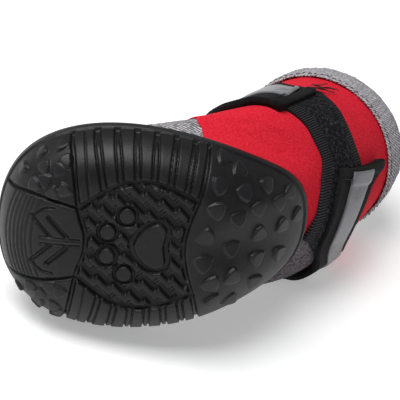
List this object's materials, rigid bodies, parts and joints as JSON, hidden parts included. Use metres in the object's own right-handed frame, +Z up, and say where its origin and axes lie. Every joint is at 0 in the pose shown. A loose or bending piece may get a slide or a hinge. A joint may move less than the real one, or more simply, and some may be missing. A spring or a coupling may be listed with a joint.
{
  "type": "dog bootie",
  "caption": "Dog bootie with a moulded rubber cup sole, a soft shaft and two hook straps, lying on its right side.",
  "frame": {"origin": "on the floor, under the middle of the bootie's bounding box as it lies on its right side", "axes": "+Z up from the floor, -X towards the toe, +Y towards the collar, so the tread faces -Y and a little down"},
  "size_m": [0.121, 0.1052, 0.0589],
  "materials": {
    "rubber": "satin",
    "foam": "matte",
    "softshell": "matte",
    "binding": "matte",
    "loop_webbing": "matte",
    "hook_webbing": "matte",
    "tape": "satin"
  },
  "bodies": {
    "root": {"outsole": "rubber", "insole": "foam", "upper": "softshell", "collar_binding": "binding", "loop_band": "loop_webbing", "strap_left": "hook_webbing", "strap_right": "hook_webbing", "reflective_tape_left": "tape", "reflective_tape_right": "tape"}
  },
  "joints": []
}
